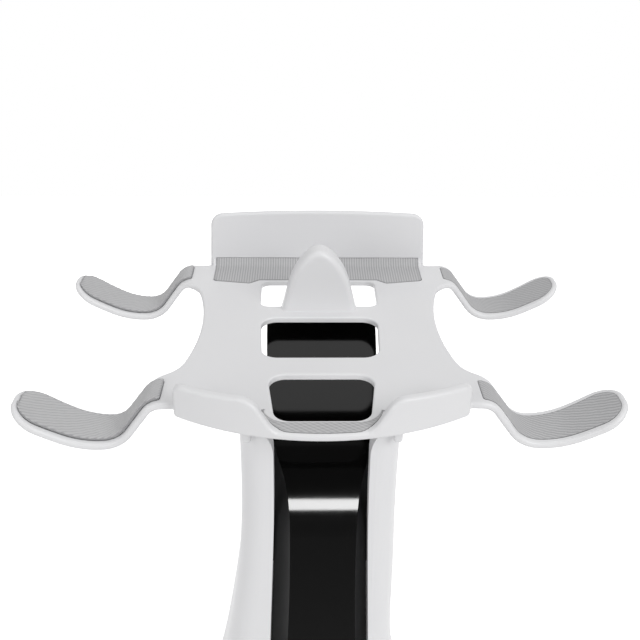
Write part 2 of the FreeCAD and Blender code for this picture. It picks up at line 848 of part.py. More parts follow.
def column_body(inset):
    """The column's outer form, or its inner form when inset by the wall."""
    wires = []
    for z, left, right, front, back, corner in column_stations():
        wires.append(column_section(z, left - inset, right - inset, front + inset, back - inset,
                                    max(corner - inset, 2.0)))
    return Part.makeLoft(wires, True, False)


def channel_widths(grow):
    """Half width of the channel between the cheeks, at heights from the foot up."""
    stations = [(0.206, 24.2), (0.426, 22.4), (0.61, 20.7), (0.789, 19.3), (0.888, 19.0)]
    inner = [(half + grow, column_z(share)) for share, half in stations]
    return [(25.5 + grow, base_top - 3)] + inner + [(19.0 + grow, tray_top + 1)]


def channel(grow, depth):
    """Room for the panel and liner between the cheeks, and for the flare at its head."""
    widths = channel_widths(grow)
    cut = side_layer(-depth, room_depth, room_half).common(front_outline(widths, widths))
    flare_z = tray_under - cheek_flare_drop
    r = cheek_flare_radius
    half = widths[-1][0]
    face = Part.Face(Part.Wire([
        Part.Arc(vec(half, 0, flare_z), vec(half + r * (1 - math.sqrt(0.5)), 0, flare_z + r * math.sqrt(0.5)),
                 vec(half + r, 0, flare_z + r)).toShape(),
        line(vec(half + r, 0, flare_z + r), vec(half + r, 0, tray_top)),
        line(vec(half + r, 0, tray_top), vec(half - 1, 0, tray_top)),
        line(vec(half - 1, 0, tray_top), vec(half - 1, 0, flare_z)),
        line(vec(half - 1, 0, flare_z), vec(half, 0, flare_z)),
    ]))
    flare = across(face, base_front_y, front_arm_y - 4.0)
    return cut.fuse(flare).fuse(mirrored(flare))


def throat(grow):
    """Wider room above the sloped head of the panel, behind the front flare."""
    half_front = throat_half_front + grow
    half_rear = throat_half_rear + grow
    points = [
        vec(-half_front, throat_front_y, 0), vec(half_front, throat_front_y, 0),
        vec(half_rear, throat_rear_y, 0), vec(half_rear, plate_rear_y, 0),
        vec(-half_rear, plate_rear_y, 0), vec(-half_rear, throat_rear_y, 0),
    ]
    depth = panel_thickness + liner_depth + fit_gap + grow
    room = side_layer(-depth, room_depth, room_half)
    return prism(polygon(points), roll_start_z - 20.0, tray_top + 1).common(room)


def neck():
    """Bracket behind the column that carries the end of the panel and meets the tray."""
    depth = panel_thickness + liner_depth
    plate = side_layer(-depth - neck_thickness, -panel_thickness, neck_half)
    plate = plate.common(box(-neck_half, neck_half, neck_front_y, neck_end_y, roll_start_z, tray_top))
    seat_z = tray_under - neck_seat_height
    seat = box(-neck_seat_half, neck_seat_half, neck_end_y, neck_rear_y, seat_z, tray_under)
    seat = seat.cut(side_layer(-panel_thickness, room_half, room_half))
    points = [
        vec(0, neck_front_y + web_low[0], tray_under - web_low[1]),
        vec(0, neck_front_y + web_rear[0], tray_under - web_rear[1]),
        vec(0, neck_rear_y, seat_z),
        vec(0, neck_end_y, tray_under - web_seat_drop),
        vec(0, neck_front_y + web_front[0], tray_under - web_front[1]),
    ]
    web = polygon(points)
    web.translate(vec(-web_half, 0, 0))
    web = web.extrude(vec(2 * web_half, 0, 0)).cut(side_layer(-panel_thickness, room_half, room_half))
    liner_room = side_layer(-depth - fit_gap, room_half, room_half, liner_slope + fit_gap)
    solid = plate.fuse(web).cut(liner_room).fuse(seat)
    for x, y in tray_screw_places():
        solid = solid.cut(Part.makeCylinder(screw_hole, 40.0, vec(x, y, seat_z - 20.0)))
        solid = solid.cut(Part.makeCylinder(screw_head_radius + fit_gap, 20.0, vec(x, y, seat_z - 20.0)))
    return solid


def column_shell():
    """The white column: a hollow flared moulding with a channel in its front."""
    outer = column_body(0.0)
    depth = panel_thickness + liner_depth + fit_gap
    walled = channel(channel_wall, depth + channel_wall).fuse(throat(channel_wall))
    roof = box(-base_half_width, base_half_width, base_front_y, plate_rear_y, tray_under - column_roof,
               tray_top + 1)
    hollow = column_body(column_wall).cut(walled).cut(roof)
    shell = outer.cut(hollow).cut(channel(0.0, depth)).cut(throat(0.0))
    bosses = []
    for x, y in column_screw_places():
        boss = Part.makeCylinder(column_boss_radius, column_boss_height, vec(x, y, base_top))
        bosses.append(boss.common(outer).cut(channel(0.0, depth)))
    for piece in bosses + [neck()]:
        shell = shell.fuse(piece)
    for x, y in column_screw_places():
        shell = shell.cut(Part.makeCylinder(screw_hole, column_screw_bite + 2.0, vec(x, y, base_top - 1)))
    return one_solid(shell)


def column_screw_places():
    """Plan places of the four screws that hold the column to the foot."""
    return [(x, y) for x in (-column_screw_x, column_screw_x)
            for y in (column_screw_front_y, column_screw_rear_y)]


def cover_screw_places():
    """Plan places of the four screws that hold the cover."""
    middle = (base_front_y + base_rear_y) / 2
    reach = (base_rear_y - base_front_y) / 2 - cover_screw_inset_y
    return [(x, middle + y) for x in (-cover_screw_x, cover_screw_x) for y in (-reach, reach)]


def tray_screw_places():
    """Plan places of the two screws that hold the tray to the column's neck."""
    return [(x, (neck_end_y + neck_rear_y) / 2) for x in (-tray_screw_x, tray_screw_x)]


def foot_places():
    """Plan places of the four rubber feet, with their names."""
    middle = (base_front_y + base_rear_y) / 2
    reach = (base_rear_y - base_front_y) / 2 - rubber_inset_y
    places = {}
    for name, y in (("front", middle - reach), ("rear", middle + reach)):
        places["foot_%s_left" % name] = (-base_half_width + rubber_inset_x, y)
        places["foot_%s_right" % name] = (base_half_width - rubber_inset_x, y)
    return places


def foot_block(inset, low, high):
    """Rounded plan of the foot as a prism, inset on all sides."""
    half = base_half_width - inset
    front = base_front_y + inset
    rear = base_rear_y - inset
    solid = box(-half, half, front, rear, low, high)
    corners = [(-half, front), (half, front), (half, rear), (-half, rear)]
    return solid.makeFillet(base_corner - inset, upright_edges(solid, corners))


def base_shell():
    """The white foot: a rounded shell, open below, with bosses for the cover."""
    solid = foot_block(0.0, cover_bottom, base_top)
    top = [e for e in solid.Edges if e.BoundBox.ZMin > base_top - 0.01]
    solid = solid.makeFillet(base_round, top)
    bottom = [e for e in solid.Edges if e.BoundBox.ZMax < cover_bottom + 0.01]
    solid = solid.makeFillet(foot_edge_round, bottom)
    solid = solid.cut(foot_block(base_wall, cover_bottom - 1.0, base_top - base_roof))
    bosses = []
    for x, y in cover_screw_places():
        height = base_top - base_roof - cover_top
        bosses.append(Part.makeCylinder(cover_boss_radius, height, vec(x, y, cover_top)))
    for boss in bosses:
        solid = solid.fuse(boss)
    for x, y in cover_screw_places():
        solid = solid.cut(Part.makeCylinder(screw_hole, cover_screw_length + 0.5, vec(x, y, cover_top - 1.0)))
    for x, y in column_screw_places():
        solid = solid.cut(Part.makeCylinder(screw_hole, base_top, vec(x, y, cover_top)))
    return one_solid(solid)


def base_cover():
    """The flat cover under the foot, with seats for the rubber feet and screw heads."""
    solid = foot_block(base_wall + fit_gap, cover_bottom, cover_top)
    for x, y in foot_places().values():
        solid = solid.cut(Part.makeCylinder(rubber_radius + fit_gap, rubber_height, vec(x, y, 0)))
    for x, y in cover_screw_places():
        solid = solid.cut(Part.makeCylinder(screw_hole, cover_top, vec(x, y, 0)))
        solid = solid.cut(Part.makeCylinder(screw_head_radius + fit_gap, screw_head_height + 1.0,
                                            vec(x, y, cover_bottom - 1.0)))
    return solid


def rubber_foot(x, y):
    """One rubber foot, let into the cover and proud of it."""
    solid = Part.makeCylinder(rubber_radius, rubber_height, vec(x, y, 0))
    return solid.makeFillet(rubber_round, [e for e in solid.Edges if e.BoundBox.ZMax < 0.01])


def screw(x, y, seat, length):
    """A pan-head screw whose head hangs under its seat, with a cross recess in the head."""
    shaft = Part.makeCylinder(screw_radius, length, vec(x, y, seat))
    head = Part.makeCylinder(screw_head_radius, screw_head_height, vec(x, y, seat - screw_head_height))
    rim = [e for e in head.Edges if e.BoundBox.ZMax < seat - screw_head_height + 0.01]
    head = head.makeFillet(screw_head_round, rim)
    solid = head.fuse(shaft)
    low = seat - screw_head_height
    top = low + cross_depth
    solid = solid.cut(box(x - cross_reach, x + cross_reach, y - cross_half, y + cross_half, low - 1, top))
    return solid.cut(box(x - cross_half, x + cross_half, y - cross_reach, y + cross_reach, low - 1, top))


def group(solids):
    """Several small solids of one kind as one piece."""
    return Part.makeCompound(solids)


def parts():
    """Every piece by its name."""
    made = {
        "tray": tray(),
        "rear_pad": rear_pad(),
        "front_pad": front_pad(),
        "column_shell": column_shell(),
        "column_liner": column_liner(),
        "column_panel": column_panel(),
        "base_shell": base_shell(),
        "base_cover": base_cover(),
    }
    for end, y in (("front", front_arm_y), ("rear", rear_arm_y)):
        for hand, side in (("left", -1), ("right", 1)):
            made["arm_pad_%s_%s" % (end, hand)] = arm_pad(y, side, -pad_depth, pad_proud, 0.0)
    for name, (x, y) in foot_places().items():
        made[name] = rubber_foot(x, y)
    neck_low = tray_under - neck_seat_height
    made["tray_screws"] = group([screw(x, y, neck_low, neck_seat_height + tray_screw_bite)
                                 for x, y in tray_screw_places()])
    made["column_screws"] = group([screw(x, y, base_top - base_roof, base_roof + column_screw_bite)
                                   for x, y in column_screw_places()])
    made["cover_screws"] = group([screw(x, y, cover_bottom + screw_head_height, cover_screw_length)
                                  for x, y in cover_screw_places()])
    return made


if __name__ == "__main__":
    os.makedirs("parts", exist_ok=True)
    for name, shape in parts().items():
        shape.exportStep("parts/%s.step" % name)
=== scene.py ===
"""Looks of a desktop stand for a headset and two hand controllers.

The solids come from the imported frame. This script gives each of them its finish, models the ribbed
silicone pads that are let into the tray, and sets the pale studio and the camera. Lengths are in metres.
"""

import logging
import math
from dataclasses import dataclass
from enum import Enum
from typing import Optional

import bpy
from mathutils import Matrix, Vector
from mathutils.bvhtree import BVHTree


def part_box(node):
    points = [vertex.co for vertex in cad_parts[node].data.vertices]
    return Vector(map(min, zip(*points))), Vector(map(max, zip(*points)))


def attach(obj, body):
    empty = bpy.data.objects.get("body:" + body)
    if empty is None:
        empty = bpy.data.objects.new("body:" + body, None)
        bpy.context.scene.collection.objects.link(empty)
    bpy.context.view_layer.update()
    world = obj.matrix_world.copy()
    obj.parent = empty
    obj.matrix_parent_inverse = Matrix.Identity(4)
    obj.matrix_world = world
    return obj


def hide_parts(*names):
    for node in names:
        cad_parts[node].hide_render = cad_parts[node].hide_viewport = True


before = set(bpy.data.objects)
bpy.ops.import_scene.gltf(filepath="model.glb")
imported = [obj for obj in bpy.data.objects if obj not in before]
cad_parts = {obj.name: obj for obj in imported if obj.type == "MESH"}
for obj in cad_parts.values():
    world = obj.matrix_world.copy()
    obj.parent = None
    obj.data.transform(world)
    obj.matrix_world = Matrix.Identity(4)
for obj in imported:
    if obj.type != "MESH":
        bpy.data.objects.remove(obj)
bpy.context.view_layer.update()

MM = 0.001
BODY = "root"
# Shares by which a place beside a pad is pulled inwards to find the pad's top
PULLS = (0.0, 0.01, 0.02, 0.04, 0.08, 0.16)
# Least upward part of a normal that still counts as the top
TOP_LIMIT = 0.25
# Share of a pad's plan over which its ribs fade out towards the edge
RIB_FADE = 0.015
# Size in millimetres of the faint clouds of tone in a moulding
CLOUD_MM = 38.0
WHITE = (1.0, 1.0, 1.0, 1.0)
DOWN = Vector((0, 0, -1))
LOG = logging.getLogger("stand")

Point = tuple[float, float, float]
Settings = dict[str, object]


def linear(code: str) -> tuple[float, float, float, float]:
    """Turns an sRGB colour code into a linear colour.

    Args:
        code: Six hexadecimal digits.

    Returns:
        Red, green, blue and an alpha of one.
    """
    shares = [int(code[i:i + 2], 16) / 255 for i in (0, 2, 4)]
    turned = [s / 12.92 if s <= 0.04045 else ((s + 0.055) / 1.055) ** 2.4 for s in shares]
    return (turned[0], turned[1], turned[2], 1.0)


def add_node(tree: bpy.types.NodeTree, kind: str, settings: Optional[Settings] = None,
             links: Optional[dict[str, bpy.types.NodeSocket]] = None) -> bpy.types.Node:
    """Adds one node with its settings and incoming links.

    Args:
        tree: Node tree that gets the node.
        kind: Blender's name of the node type.
        settings: Values by property name, or by input name where no property has that name.
        links: Output sockets by the name of the input that they feed.

    Returns:
        The new node.
    """
    node = tree.nodes.new(kind)
    for name, value in (settings or {}).items():
        if hasattr(node, name):
            setattr(node, name, value)
        else:
            node.inputs[name].default_value = value
    for name, socket in (links or {}).items():
        tree.links.new(socket, node.inputs[name])
    return node


def new_material(name: str) -> tuple[bpy.types.Material, bpy.types.NodeTree]:
    """Makes an empty node material.

    Args:
        name: Name of the material.

    Returns:
        The material and its tree.
    """
    material = bpy.data.materials.new(name)
    material.use_nodes = True
    material.node_tree.nodes.clear()
    return material, material.node_tree


def close_material(tree: bpy.types.NodeTree, shader: bpy.types.Node) -> None:
    """Joins the shader to the material's output.

    Args:
        tree: Node tree of the material.
        shader: Node whose first output is the finished surface.
    """
    add_node(tree, "ShaderNodeOutputMaterial", {}, {"Surface": shader.outputs[0]})


def per_metre(size_mm: float) -> float:
    """Turns a size into the scale of a noise.

    Args:
        size_mm: Size of the noise's features, in millimetres.

    Returns:
        Features a metre.
    """
    return 1.0 / (size_mm * MM)


class Grain(Enum):
    """How a moulding's surface was made."""

    SPARK_ERODED = "spark eroded"
    POLISHED = "polished"


@dataclass(frozen=True)
class MouldedPlastic:
    """A moulded plastic: its colour, gloss and the fine grain of its tool."""

    name: str
    colour: str
    shade: str
    roughness: float
    specular: float
    grain: Grain
    grain_mm: float
    grain_depth_mm: float

    def make(self) -> bpy.types.Material:
        """Builds the material.

        Returns:
            The material, with grain in bump and faint changes of tone and gloss.
        """
        material, tree = new_material(self.name)
        place = add_node(tree, "ShaderNodeTexCoord")
        cloud = add_node(tree, "ShaderNodeTexNoise", {"Scale": per_metre(CLOUD_MM), "Detail": 2.0},
                         {"Vector": place.outputs["Object"]})
        tone = add_node(tree, "ShaderNodeMix", {"data_type": "RGBA"}, {"Factor": cloud.outputs["Fac"]})
        tone.inputs[6].default_value = linear(self.colour)
        tone.inputs[7].default_value = linear(self.shade)
        fine = add_node(tree, "ShaderNodeTexNoise",
                        {"Scale": per_metre(self.grain_mm), "Detail": 3.0, "Roughness": 0.6},
                        {"Vector": place.outputs["Object"]})
        gloss = add_node(tree, "ShaderNodeMapRange",
                         {"To Min": self.roughness - 0.02, "To Max": self.roughness + 0.03},
                         {"Value": fine.outputs["Fac"]})
        strength = 0.25 if self.grain is Grain.SPARK_ERODED else 0.04
        bump = add_node(tree, "ShaderNodeBump",
                        {"Strength": strength, "Distance": self.grain_depth_mm * MM},
                        {"Height": fine.outputs["Fac"]})
        shader = add_node(tree, "ShaderNodeBsdfPrincipled", {"Specular IOR Level": self.specular},
                          {"Base Color": tone.outputs[2], "Roughness": gloss.outputs[0],
                           "Normal": bump.outputs[0]})
        close_material(tree, shader)
        return material


@dataclass(frozen=True)
class SiliconeRubber:
    """Soft matt silicone or rubber with a dusty, slightly uneven face."""

    name: str
    # Crest colour and valley colour, which the rib mask mixes as painted highlight and painted shade
    colour: str
    shade: str
    roughness: float
    sheen: float

    def make(self) -> bpy.types.Material:
        """Builds the material.

        Returns:
            The material, with a painted highlight on its rib crests and painted shade in its valleys.
        """
        material, tree = new_material(self.name)
        place = add_node(tree, "ShaderNodeTexCoord")
        fine = add_node(tree, "ShaderNodeTexNoise",
                        {"Scale": per_metre(0.6), "Detail": 3.0, "Roughness": 0.65},
                        {"Vector": place.outputs["Object"]})
        # Painted light: the rib mask mixes the paler colour onto the crests and the darker shade into the
        # valleys
        painted_rib_light = add_node(tree, "ShaderNodeAttribute", {"attribute_name": "painted_rib_light"})
        mixed = add_node(tree, "ShaderNodeMath", {"operation": "MULTIPLY_ADD"},
                         {"Value": fine.outputs["Fac"]})
        mixed.inputs[1].default_value = 0.35
        tree.links.new(painted_rib_light.outputs["Fac"], mixed.inputs[2])
        tone = add_node(tree, "ShaderNodeMix", {"data_type": "RGBA"}, {})
        tree.links.new(mixed.outputs[0], tone.inputs[0])
        tone.inputs[6].default_value = linear(self.shade)
        tone.inputs[7].default_value = linear(self.colour)
        bump = add_node(tree, "ShaderNodeBump", {"Strength": 0.2, "Distance": 0.05 * MM},
                        {"Height": fine.outputs["Fac"]})
        shader = add_node(tree, "ShaderNodeBsdfPrincipled",
                          {"Roughness": self.roughness, "Sheen Weight": self.sheen,
                           "Sheen Roughness": 0.5, "Specular IOR Level": 0.4},
                          {"Base Color": tone.outputs[2], "Normal": bump.outputs[0]})
        close_material(tree, shader)
        return material


@dataclass(frozen=True)
class PlatedSteel:
    """Zinc-plated steel of small screws, with fine uneven gloss."""

    name: str
    colour: str
    roughness: float

    def make(self) -> bpy.types.Material:
        """Builds the material.

        Returns:
            The metal, with fine uneven brightness.
        """
        material, tree = new_material(self.name)
        place = add_node(tree, "ShaderNodeTexCoord")
        fine = add_node(tree, "ShaderNodeTexNoise", {"Scale": per_metre(0.8), "Detail": 4.0},
                        {"Vector": place.outputs["Object"]})
        gloss = add_node(tree, "ShaderNodeMapRange",
                         {"To Min": self.roughness - 0.08, "To Max": self.roughness + 0.1},
                         {"Value": fine.outputs["Fac"]})
        shader = add_node(tree, "ShaderNodeBsdfPrincipled", {"Metallic": 1.0},
                          {"Roughness": gloss.outputs[0]})
        shader.inputs["Base Color"].default_value = linear(self.colour)
        close_material(tree, shader)
        return material


# White ABS from a lightly spark-eroded tool: satin, with soft highlights on its rounded edges
WHITE_ABS = MouldedPlastic("white_satin_abs", "EDEDEE", "E9E9EB", 0.36, 0.5, Grain.SPARK_ERODED, 0.7, 0.02)
# Piano-black acrylic: a polished face that mirrors the softbox and stays black beside it
PIANO_BLACK = MouldedPlastic("piano_black_acrylic", "030303", "020202", 0.11, 0.04, Grain.POLISHED, 6.0, 0.01)
# Black ABS of the carrier and the cover: fine satin, a little greyer than the gloss
BLACK_ABS = MouldedPlastic("black_satin_abs", "121213", "0F0F10", 0.42, 0.35, Grain.SPARK_ERODED, 0.6, 0.03)
# Grey silicone: matt, with a painted highlight on its rib crests and painted shade in the valleys between
# them
GREY_SILICONE = SiliconeRubber("grey_silicone", "C6C6C7", "A2A2A4", 0.62, 0.08)
# Black rubber of the feet
FOOT_RUBBER = SiliconeRubber("black_rubber", "2A2A2B", "1E1E1F", 0.75, 0.05)
# Zinc plating on steel: bright grey metal
ZINC_STEEL = PlatedSteel("zinc_plated_steel", "C8CACC", 0.32)


def deselect() -> None:
    """Leaves object mode and clears the selection."""
    if bpy.context.mode != "OBJECT":
        bpy.ops.object.mode_set(mode="OBJECT")
    bpy.ops.object.select_all(action="DESELECT")


def finish_piece(piece: bpy.types.Object, node: str, material: bpy.types.Material) -> None:
    """Dresses a new piece and puts it in place of a node.

    Args:
        piece: The finished object.
        node: CAD node that the piece stands for.
        material: The piece's material.
    """
    piece.data.materials.clear()
    piece.data.materials.append(material)
    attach(piece, BODY)
    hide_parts(node)
    LOG.info("%s: %d faces, stands for %s", piece.name, len(piece.data.polygons), node)


def dress(node: str, material: bpy.types.Material) -> None:
    """Gives a CAD node its material.

    Args:
        node: Name of the node.
        material: Material for all of it.
    """
    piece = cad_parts[node]
    piece.data.materials.clear()
    piece.data.materials.append(material)
    LOG.info("%s: %s", node, material.name)


BOXES: dict[str, tuple[Vector, Vector]] = {}


def node_box(node: str) -> tuple[Vector, Vector]:
    """Finds the box of a CAD node and keeps it for the next time.

    Args:
        node: Name of the node.

    Returns:
        Its lowest and its highest corner, in metres.
    """
    if node not in BOXES:
        BOXES[node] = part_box(node)
    return BOXES[node]


def rounding(radius: float, depth: float) -> float:
    """Finds how far a rounded corner lies inside the sharp one.

    Args:
        radius: Radius of the corner.
        depth: Distance from the corner's end, along the side that ends there.

    Returns:
        The setback at that depth, nought past the radius.
    """
    if depth >= radius:
        return 0.0
    return radius - math.sqrt(max(0.0, radius ** 2 - (radius - depth) ** 2))


def ridge(phase: float) -> float:
    """Rounded rib profile.

    Args:
        phase: Place across the ribs, counted in ribs.

    Returns:
        Height between nought and one.
    """
    return 0.5 - 0.5 * math.cos(2 * math.pi * phase)


@dataclass
class PadSkin:
    """A thin silicone skin with moulded ribs, laid over the top of a CAD pad.

    The skin's grid runs over the pad's plan, takes its height from the pad's own top and gets a
    real thickness and real ribs.
    """

    node: str
    columns: int
    rows: int
    thickness_mm: float = 1.2
    rib_mm: float = 0.14
    inset_mm: float = 0.08

    def plan(self, across: float, along: float) -> tuple[float, float]:
        """Plan place of a grid point.

        Args:
            across: Share from nought to one along the grid's columns.
            along: Share from nought to one along the grid's rows.

        Returns:
            Places on X and Y, in metres.
        """
        raise NotImplementedError

    def rib(self, x_mm: float, y_mm: float) -> float:
        """Height of the rib pattern.

        Args:
            x_mm: Place across, in millimetres.
            y_mm: Place towards the back, in millimetres.

        Returns:
            Share of the rib's full height.
        """
        raise NotImplementedError

    def surface(self) -> BVHTree:
        """Search tree over the CAD pad's faces."""
        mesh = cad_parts[self.node].data
        points = [v.co.copy() for v in mesh.vertices]
        return BVHTree.FromPolygons(points, [tuple(p.vertices) for p in mesh.polygons])

    def drape(self, tree: BVHTree, x: float, y: float) -> tuple[Vector, Vector]:
        """Finds the top of the CAD pad under a plan place.

        Args:
            tree: Search tree over the pad's faces.
            x: Place across, in metres.
            y: Place towards the back, in metres.

        Returns:
            The point and its normal; beside the pad, those of the first place inside it.
        """
        low, high = node_box(self.node)
        middle = (low + high) / 2
        for pull in PULLS:
            for a, b in ((0.0, pull), (pull, 0.0), (pull, pull)):
                start = Vector((x + a * (middle.x - x), y + b * (middle.y - y), high.z + 0.01))
                hit, normal, _, _ = tree.ray_cast(start, DOWN)
                if hit is not None and normal.z > TOP_LIMIT:
                    return hit, normal
        raise ValueError("no top of %s at %.4f %.4f" % (self.node, x, y))

    def build(self, material: bpy.types.Material) -> bpy.types.Object:
        """Models the skin.

        Args:
            material: Silicone of the pad.

        Returns:
            The finished piece.
        """
        deselect()
        bpy.ops.mesh.primitive_grid_add(x_subdivisions=self.columns, y_subdivisions=self.rows, size=2.0)
        piece = bpy.context.object
        piece.name = self.node + "_skin"
        piece.data.name = piece.name
        tree = self.surface()
        ribs: list[float] = []
        for vertex in piece.data.vertices:
            across = 0.5 + 0.5 * vertex.co.x
            along = 0.5 + 0.5 * vertex.co.y
            x, y = self.plan(across, along)
            hit, normal = self.drape(tree, x, y)
            edge = min(across, 1 - across, along, 1 - along)
            share = min(1.0, edge / RIB_FADE)
            height = self.rib(x / MM, y / MM) * share
            ribs.append(height)
            vertex.co = hit - normal * (1.0 - height * share) * self.rib_mm * MM
        # The rib heights become the mask for the painted highlight on the crests and the painted shade in the
        # valleys
        attribute = piece.data.attributes.new("painted_rib_light", "FLOAT", "POINT")
        attribute.data.foreach_set("value", ribs)
        self.thicken(piece)
        finish_piece(piece, self.node, material)
        return piece

    def thicken(self, piece: bpy.types.Object) -> None:
        """Gives the skin its thickness downwards and smooths its shading.

        Args:
            piece: The draped skin.
        """
        solid = piece.modifiers.new("thickness", "SOLIDIFY")
        solid.thickness = (self.thickness_mm - self.rib_mm) * MM
        solid.offset = -1.0
        solid.use_even_offset = False
        bpy.ops.object.modifier_apply(modifier=solid.name)
        bpy.ops.object.mode_set(mode="EDIT")
        bpy.ops.mesh.select_all(action="SELECT")
        bpy.ops.mesh.normals_make_consistent(inside=False)
        bpy.ops.mesh.select_all(action="DESELECT")
        bpy.ops.object.mode_set(mode="OBJECT")
        bpy.ops.object.shade_smooth_by_angle(angle=math.radians(50))


@dataclass
class ArmPad(PadSkin):
    """The ribbed pad of one arm, straight at its root and round at its tip."""

    side: int = 1
    root_half_mm: float = 6.5
    tip_half_mm: float = 9.30
    root_round_mm: float = 1.2
    tip_round_mm: float = 7.5
    pitch_mm: float = 1.45
    slant_deg: float = 31.0
    wave_mm: float = 4.2
    wave_share: float = 0.06
    ease: float = 0.2

    def plan(self, across: float, along: float) -> tuple[float, float]:
        """Plan place on the arm; the grid's columns run from the root to the tip."""
        low, high = node_box(self.node)
        middle = (low.y + high.y) / 2 / MM
        near = min(abs(low.x), abs(high.x)) / MM + self.inset_mm
        far = max(abs(low.x), abs(high.x)) / MM - self.inset_mm
        eased = 0.5 - 0.5 * math.cos(math.pi * across)
        share = (1 - self.ease) * across + self.ease * eased
        x = near + share * (far - near)
        half = self.root_half_mm + share * (self.tip_half_mm - self.root_half_mm)
        half -= rounding(self.root_round_mm, x - near)
        half -= rounding(self.tip_round_mm, far - x)
        y = middle + (2 * along - 1) * (half - self.inset_mm)
        return self.side * x * MM, y * MM

    def rib(self, x_mm: float, y_mm: float) -> float:
        """Slanted ribs that step a little along their run, as a moulded twill does."""
        slant = math.radians(self.slant_deg)
        u = abs(x_mm) * math.cos(slant) - y_mm * math.sin(slant)
        v = abs(x_mm) * math.sin(slant) + y_mm * math.cos(slant)
        step = self.wave_share * math.sin(2 * math.pi * u / self.wave_mm)
        return ridge(v / self.pitch_mm + step)


@dataclass
class RearPad(PadSkin):
    """The fine-lined pad in the valley before the back plate."""

    line_mm: float = 1.25
    corner_mm: float = 2.0
    rib_mm: float = 0.07
    inset_mm: float = 0.02
    notch_half_mm: float = 29.1
    notch_depth_mm: float = 3.5
    notch_ramp_mm: float = 4.5
    bow_mm: float = 2.9

    def plan(self, across: float, along: float) -> tuple[float, float]:
        """Plan place; the front edge is bowed and steps back round the rear window."""
        low, high = node_box(self.node)
        x = low.x / MM + self.inset_mm + across * ((high.x - low.x) / MM - 2 * self.inset_mm)
        y0 = self.front_edge(x)
        y1 = high.y / MM - self.inset_mm
        return x * MM, (y0 + along * (y1 - y0)) * MM

    def front_edge(self, x: float) -> float:
        """Front edge of the pad.

        Args:
            x: Place across, in millimetres.

        Returns:
            Place of the edge towards the back, in millimetres.
        """
        low, high = node_box(self.node)
        half = high.x / MM
        front = low.y / MM + self.inset_mm
        past_notch = abs(x) - self.notch_half_mm
        past_ramp = past_notch - self.notch_ramp_mm
        if past_notch < 0:
            return front + self.notch_depth_mm
        if past_ramp < 0:
            return front + self.notch_depth_mm * (1 - past_notch / self.notch_ramp_mm)
        edge = front + self.bow_mm * past_ramp / (half - self.notch_half_mm - self.notch_ramp_mm)
        return edge + rounding(self.corner_mm, half - abs(x))

    def rib(self, x_mm: float, y_mm: float) -> float:
        """Straight lines from front to back."""
        return ridge(x_mm / self.line_mm)


@dataclass
class FrontPad(PadSkin):
    """The crescent pad in the dip between the lips, with a diagonal twill."""

    pitch_mm: float = 1.5
    side_inset_mm: float = 0.3
    edge_inset_mm: float = 0.05
    least_depth_mm: float = 0.01
    bow_radius_mm: float = 108.4
    bow_turn_deg: float = 6.5
    corner_radius_mm: float = 6.5
    corner_turn_deg: float = 42.5
    side_radius_mm: float = 24.0
    rear_y_mm: float = -39.8
    rear_half_mm: float = 13.0
    rear_radius_mm: float = 9.74

    def plan(self, across: float, along: float) -> tuple[float, float]:
        """Plan place between the pad's front and rear edges."""
        low, high = node_box(self.node)
        half = high.x / MM - self.side_inset_mm
        x = -half + 2 * half * across
        front, rear = self.edges(abs(x), low.y / MM)
        return x * MM, (front + along * (rear - front)) * MM

    def edges(self, x: float, low: float) -> tuple[float, float]:
        """Front and rear edge of the crescent, built of the same arcs as the CAD pad.

        Args:
            x: Distance from the middle, in millimetres.
            low: Foremost place of the pad, in millimetres.

        Returns:
            Places of the front and the rear edge towards the back, in millimetres.
        """
        bow, corner, side = self.bow_radius_mm, self.corner_radius_mm, self.side_radius_mm
        turn_a = math.radians(self.bow_turn_deg)
        turn_b = math.radians(self.corner_turn_deg)
        xa = bow * math.sin(turn_a)
        ya = low + bow * (1 - math.cos(turn_a))
        xb = xa + corner * (math.sin(turn_b) - math.sin(turn_a))
        yb = ya + corner * (math.cos(turn_a) - math.cos(turn_b))
        if x < xa:
            front = low + bow - math.sqrt(bow ** 2 - x ** 2)
        elif x < xb:
            cx = xa - corner * math.sin(turn_a)
            front = ya + corner * math.cos(turn_a) - math.sqrt(corner ** 2 - (x - cx) ** 2)
        else:
            cx = xb - side * math.sin(turn_b)
            front = yb + side * math.cos(turn_b) - math.sqrt(max(0.0, side ** 2 - (x - cx) ** 2))
        inner = self.rear_radius_mm
        rear = self.rear_y_mm
        if x > self.rear_half_mm:
            rear += inner - math.sqrt(max(0.0, inner ** 2 - (x - self.rear_half_mm) ** 2))
        front += self.edge_inset_mm
        return front, max(rear - self.edge_inset_mm, front + self.least_depth_mm)

    def rib(self, x_mm: float, y_mm: float) -> float:
        """Two crossing sets of slanted ribs."""
        first = ridge((x_mm + 1.4 * y_mm) / (1.7 * self.pitch_mm))
        second = ridge((x_mm - 2.2 * y_mm) / (2.9 * self.pitch_mm))
        return 0.7 * first + 0.3 * second


@dataclass
class TrayTop:
    """The white tray with its pads and screws."""

    shell: MouldedPlastic = WHITE_ABS
    pads: SiliconeRubber = GREY_SILICONE
    screws: PlatedSteel = ZINC_STEEL

    def build(self) -> None:
        """Dresses the tray and models its pads."""
        dress("tray", self.shell.make())
        dress("tray_screws", self.screws.make())
        silicone = self.pads.make()
        for end in ("front", "rear"):
            for hand, side in (("left", -1), ("right", 1)):
                ArmPad("arm_pad_%s_%s" % (end, hand), 190, 96, side=side).build(silicone)
        RearPad("rear_pad", 620, 30).build(silicone)
        FrontPad("front_pad", 240, 30).build(silicone)


@dataclass
class Column:
    """The hollow white column with its black front."""

    shell: MouldedPlastic = WHITE_ABS
    gloss: MouldedPlastic = PIANO_BLACK
    carrier: MouldedPlastic = BLACK_ABS

    def build(self) -> None:
        """Dresses the column's pieces."""
        dress("column_shell", self.shell.make())
        dress("column_panel", self.gloss.make())
        dress("column_liner", self.carrier.make())
        dress("column_screws", ZINC_STEEL.make())


